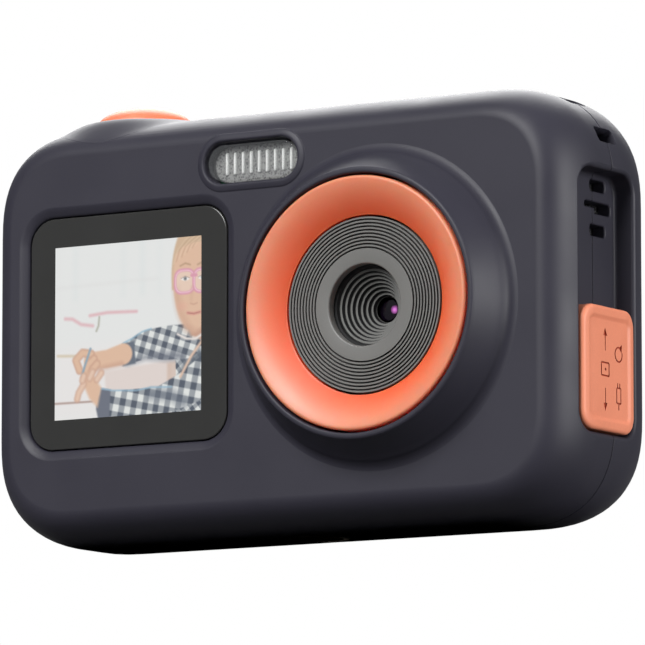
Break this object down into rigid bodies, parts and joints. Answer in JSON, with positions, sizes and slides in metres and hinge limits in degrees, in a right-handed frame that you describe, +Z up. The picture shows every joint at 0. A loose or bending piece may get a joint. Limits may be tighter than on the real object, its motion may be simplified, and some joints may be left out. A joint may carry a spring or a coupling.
{
  "type": "action camera",
  "caption": "Pocket action camera with a square front screen, flash window, ringed lens, top shutter button, side port cover and a rear screen with keys.",
  "frame": {"origin": "under the middle of the camera's box, on the surface it stands on", "axes": "+Z up, -Y the way the lens looks, +X towards the port cover"},
  "size_m": [0.0914, 0.0322, 0.0604],
  "materials": {
    "casing_plastic": "soft-touch fine texture, graphite navy",
    "orange_plastic": "satin orange",
    "orange_rubber": "matt orange rubber",
    "black_plastic": "moulded black",
    "key_plastic": "satin dark grey",
    "trim_aluminium": "turned grooves, dark anodised",
    "steel": "plain",
    "brass": "plain",
    "screen_glass": "gloss with dark border",
    "clear_window": "clear, polished",
    "frosted_diffuser": "frosted with dots and bars",
    "lens_glass": "coated, purple reflection",
    "filter_glass": "tinted",
    "silicon": "polished chip",
    "circuit_board": "solder mask",
    "chip_resin": "moulded resin",
    "led_phosphor": "yellow phosphor",
    "display_module": "display panel",
    "flex_film": "polyimide film",
    "keypad_silicone": "matt silicone",
    "battery_wrap": "foil wrap",
    "lead_red": "insulation"
  },
  "bodies": {
    "casing": {"front_shell": "casing_plastic", "rear_shell": "casing_plastic", "housing_screw_1": "steel", "housing_screw_2": "steel", "housing_screw_3": "steel", "housing_screw_4": "steel", "tripod_insert": "brass", "lens_ring": "orange_plastic", "lens_trim_disc": "trim_aluminium", "lens_hood": "black_plastic", "lens_barrel": "black_plastic", "lens_front_element": "lens_glass", "lens_rear_element": "lens_glass", "ir_filter": "filter_glass", "lens_holder": "black_plastic", "image_sensor": "silicon", "sensor_board": "circuit_board", "front_display_glass": "screen_glass", "front_display_panel": "display_module", "front_display_frame": "black_plastic", "front_display_flex": "flex_film", "flash_window": "clear_window", "flash_diffuser": "frosted_diffuser", "flash_led_board": "circuit_board", "flash_led_1": "led_phosphor", "flash_led_2": "led_phosphor", "flash_led_3": "led_phosphor", "shutter_switch": "black_plastic", "port_cover_anchor": "orange_rubber", "usb_socket": "steel", "card_slot": "steel", "reset_switch": "black_plastic", "speaker": "black_plastic", "speaker_mesh": "steel", "rear_display_glass": "screen_glass", "rear_display_panel": "display_module", "rear_display_flex": "flex_film", "microphone": "steel", "keypad_membrane": "keypad_silicone", "keypad_board": "circuit_board", "main_board": "circuit_board", "processor": "chip_resin", "battery": "battery_wrap", "battery_tray": "black_plastic", "battery_lead_red": "lead_red", "battery_lead_black": "black_plastic"},
    "key_down_cap": {"key_down": "key_plastic"},
    "key_left_cap": {"key_left": "key_plastic"},
    "key_menu_cap": {"key_menu": "key_plastic"},
    "key_ok_cap": {"key_ok": "orange_plastic"},
    "key_playback_cap": {"key_playback": "key_plastic"},
    "key_power_cap": {"key_power": "key_plastic"},
    "key_right_cap": {"key_right": "key_plastic"},
    "key_up_cap": {"key_up": "key_plastic"},
    "card": {"memory_card": "black_plastic"},
    "cover": {"port_cover": "orange_rubber"},
    "reset": {"reset_plunger": "black_plastic"},
    "shutter": {"shutter_button": "orange_plastic"}
  },
  "joints": [
    {"name": "shutter_press", "type": "slide", "parent": "casing", "child": "shutter", "axis": [0, 0, -1], "range_m": [0, 0.0006], "stiffness_N_per_m": 2000},
    {"name": "port_cover_swing", "type": "hinge", "parent": "casing", "child": "cover", "pos_m": [0.045, 0.0024, 0.0125], "axis": [0, 1, 0], "range_deg": [0, 110]},
    {"name": "card_push", "type": "slide", "parent": "casing", "child": "card", "axis": [-1, 0, 0], "range_m": [0, 0.0008], "stiffness_N_per_m": 600},
    {"name": "reset_press", "type": "slide", "parent": "casing", "child": "reset", "axis": [-1, 0, 0], "range_m": [0, 0.0003], "stiffness_N_per_m": 1500},
    {"name": "key_power_press", "type": "slide", "parent": "casing", "child": "key_power_cap", "axis": [0, -1, 0], "range_m": [0, 0.0004], "stiffness_N_per_m": 1500},
    {"name": "key_menu_press", "type": "slide", "parent": "casing", "child": "key_menu_cap", "axis": [0, -1, 0], "range_m": [0, 0.0004], "stiffness_N_per_m": 1500},
    {"name": "key_playback_press", "type": "slide", "parent": "casing", "child": "key_playback_cap", "axis": [0, -1, 0], "range_m": [0, 0.0004], "stiffness_N_per_m": 1500},
    {"name": "key_up_press", "type": "slide", "parent": "casing", "child": "key_up_cap", "axis": [0, -1, 0], "range_m": [0, 0.0004], "stiffness_N_per_m": 1500},
    {"name": "key_down_press", "type": "slide", "parent": "casing", "child": "key_down_cap", "axis": [0, -1, 0], "range_m": [0, 0.0004], "stiffness_N_per_m": 1500},
    {"name": "key_left_press", "type": "slide", "parent": "casing", "child": "key_left_cap", "axis": [0, -1, 0], "range_m": [0, 0.0004], "stiffness_N_per_m": 1500},
    {"name": "key_right_press", "type": "slide", "parent": "casing", "child": "key_right_cap", "axis": [0, -1, 0], "range_m": [0, 0.0004], "stiffness_N_per_m": 1500},
    {"name": "key_ok_press", "type": "slide", "parent": "casing", "child": "key_ok_cap", "axis": [0, -1, 0], "range_m": [0, 0.0004], "stiffness_N_per_m": 1500}
  ]
}
